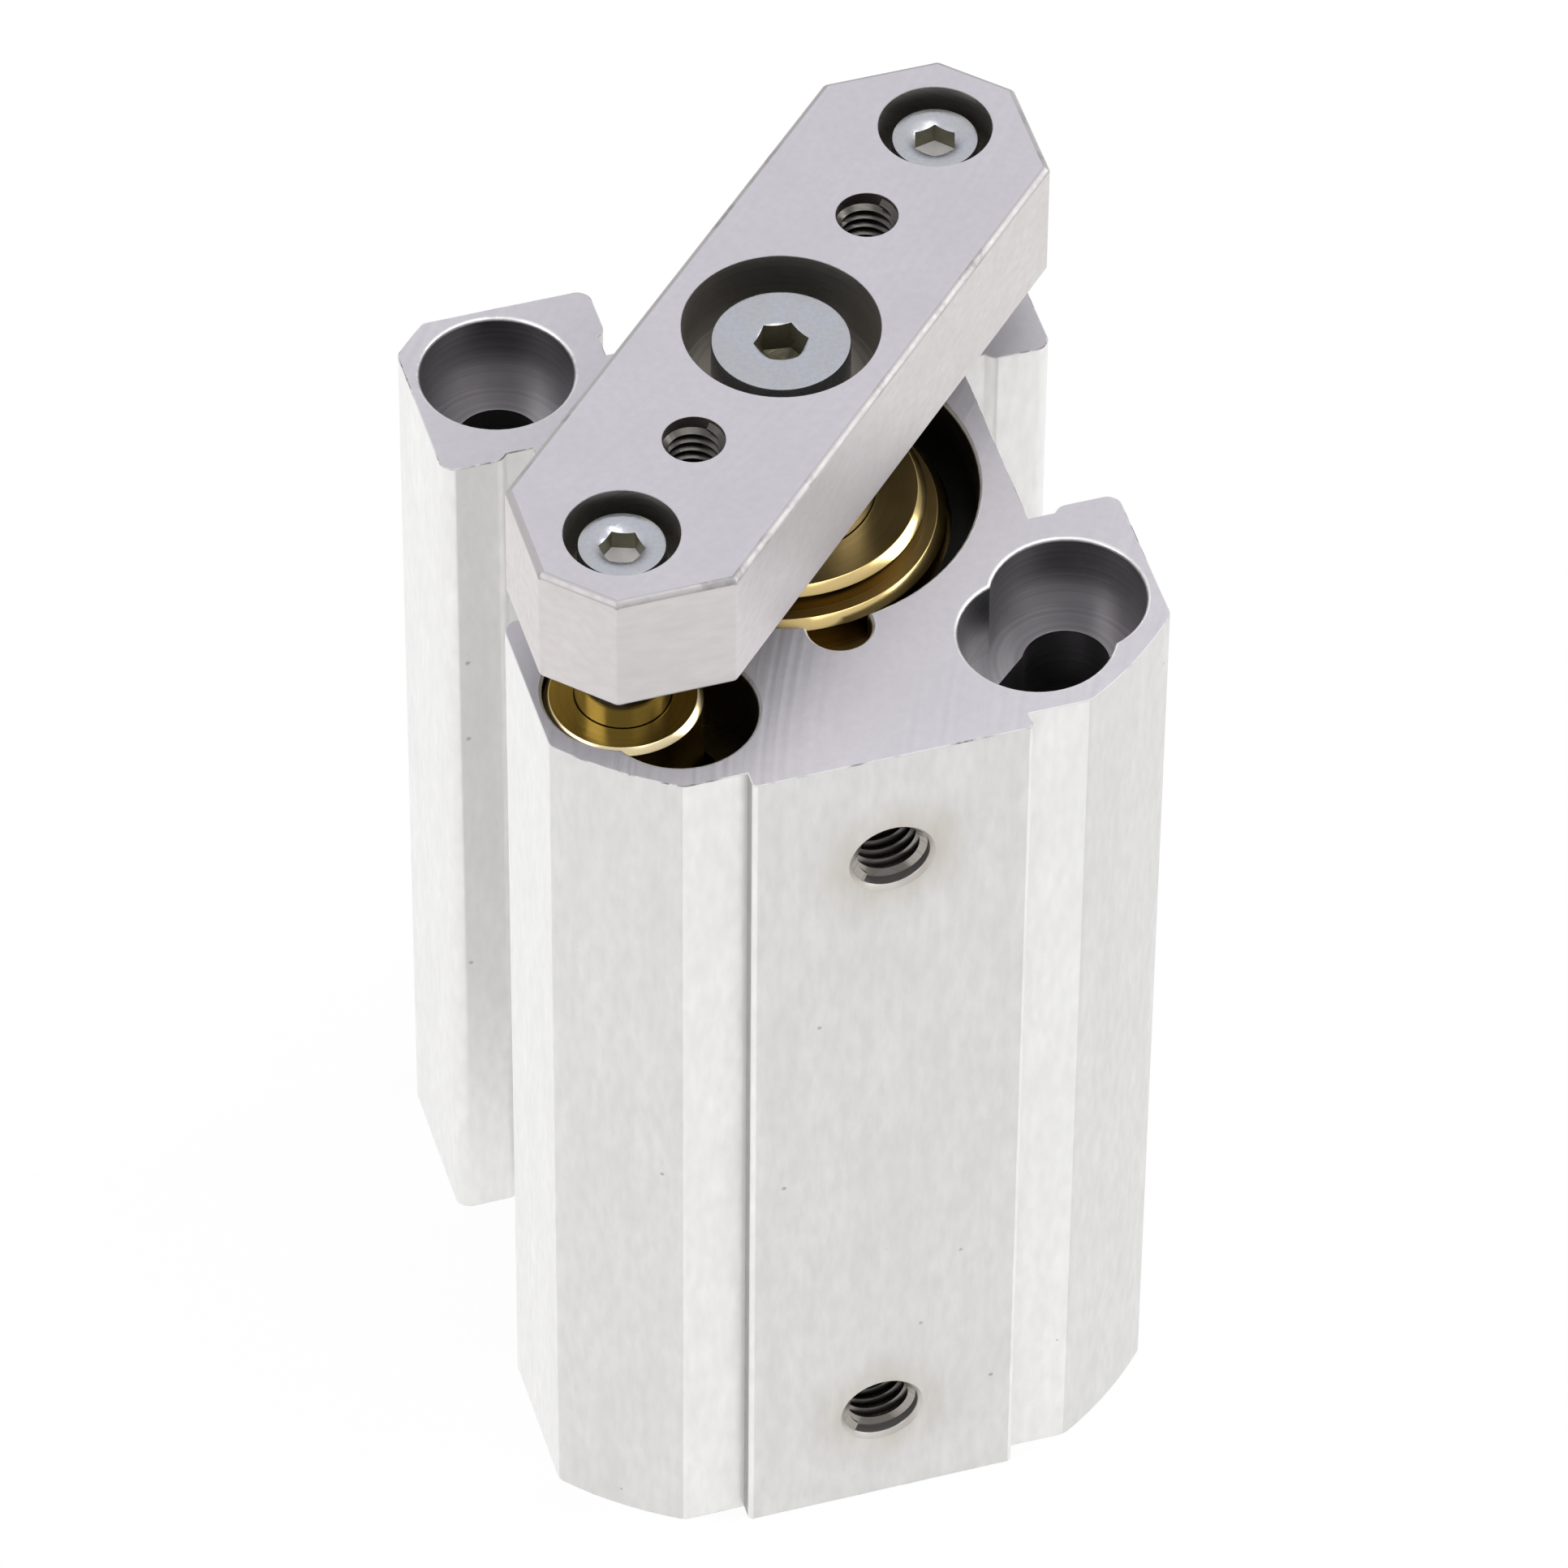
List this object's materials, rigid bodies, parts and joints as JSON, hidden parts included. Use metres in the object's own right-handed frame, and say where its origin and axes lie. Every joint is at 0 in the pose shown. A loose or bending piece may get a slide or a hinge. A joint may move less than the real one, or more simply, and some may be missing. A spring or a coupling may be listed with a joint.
{
  "type": "guided short-stroke cylinder",
  "caption": "Compact double-acting pneumatic cylinder: grooved aluminium body with air ports, a piston rod and guide rods that lift a diagonal tool plate without turning.",
  "frame": {"origin": "on the bore axis at the body's bottom face", "axes": "+Z the way the rod goes out, -Y out of the air ports, +X to the right seen from the ports"},
  "size_m": [0.0404, 0.0447, 0.0841],
  "materials": {
    "body_aluminium": "satin anodised extrusion",
    "head_aluminium": "turned",
    "piston_aluminium": "turned",
    "plate_aluminium": "satin anodised",
    "collar_bronze": "turned bearing alloy",
    "bush_bronze": "turned bearing alloy",
    "spring_steel": "black oxide",
    "magnet_ferrite": "matte",
    "wear_ring_resin": "matte",
    "rod_chrome": "hard chrome, ground",
    "guide_chrome": "hard chrome, ground",
    "bumper_urethane": "moulded",
    "seal_rubber": "moulded",
    "screw_zinc": "blue zinc plate"
  },
  "bodies": {
    "barrel": {"cylinder_tube": "body_aluminium", "head_plate": "head_aluminium", "head_plate_gasket": "seal_rubber", "rod_collar": "collar_bronze", "collar_gasket": "seal_rubber", "rod_seal": "seal_rubber", "collar_retaining_ring": "spring_steel", "front_upper_guide_bush": "bush_bronze", "front_lower_guide_bush": "bush_bronze", "back_upper_guide_bush": "bush_bronze", "back_lower_guide_bush": "bush_bronze"},
    "slide": {"piston": "piston_aluminium", "piston_seal": "seal_rubber", "piston_magnet": "magnet_ferrite", "piston_wear_ring": "wear_ring_resin", "head_bumper": "bumper_urethane", "rod_bumper": "bumper_urethane", "piston_rod": "rod_chrome", "tool_plate": "plate_aluminium", "rod_screw": "screw_zinc", "front_guide_rod": "guide_chrome", "back_guide_rod": "guide_chrome", "front_guide_screw": "screw_zinc", "back_guide_screw": "screw_zinc"}
  },
  "joints": [
    {"name": "plate_slide", "type": "slide", "parent": "barrel", "child": "slide", "axis": [0, 0, 1], "range_m": [0, 0.03]}
  ]
}
